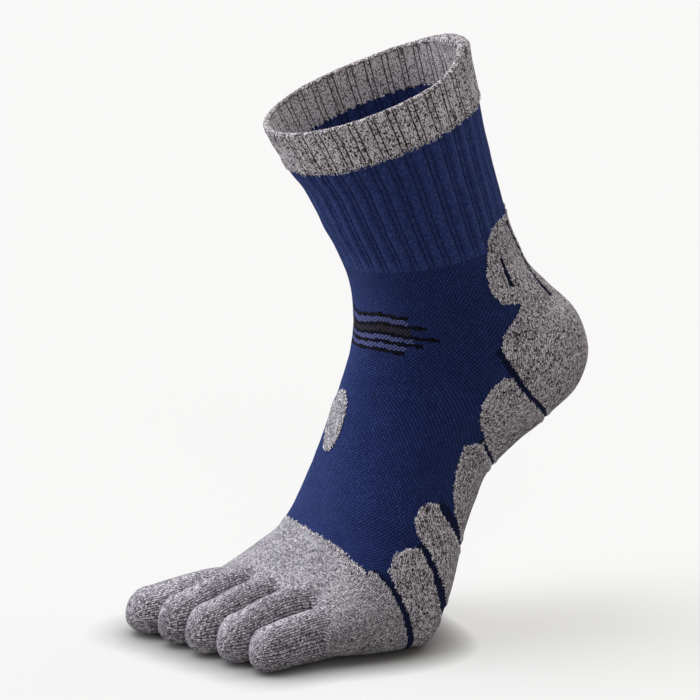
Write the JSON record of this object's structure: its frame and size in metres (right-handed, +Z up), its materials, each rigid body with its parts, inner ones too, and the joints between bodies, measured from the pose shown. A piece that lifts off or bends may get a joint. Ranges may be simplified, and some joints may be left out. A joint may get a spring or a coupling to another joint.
{
  "type": "toe sock",
  "caption": "Left toe sock, filled out on tiptoe: ribbed leg with a turned welt, shaped heel pocket, arched foot tube and a separate pocket for each toe.",
  "frame": {"origin": "middle of the mouth, where the wearer's leg passes through the welt and holds the sock", "axes": "+Z up, -Y towards the toes, +X towards the outer side of the left foot"},
  "size_m": [0.094, 0.2104, 0.2643],
  "materials": {
    "navy_knit": "fine matt knit",
    "grey_marl": "matt marl knit, slightly fuzzy"
  },
  "bodies": {
    "root": {"cuff_welt": "grey_marl", "rib_leg": "navy_knit", "foot_tube": "navy_knit", "heel_pocket": "grey_marl", "forefoot": "grey_marl", "toe_pocket_1": "grey_marl", "toe_pocket_2": "grey_marl", "toe_pocket_3": "grey_marl", "toe_pocket_4": "grey_marl", "toe_pocket_5": "grey_marl"}
  },
  "joints": []
}
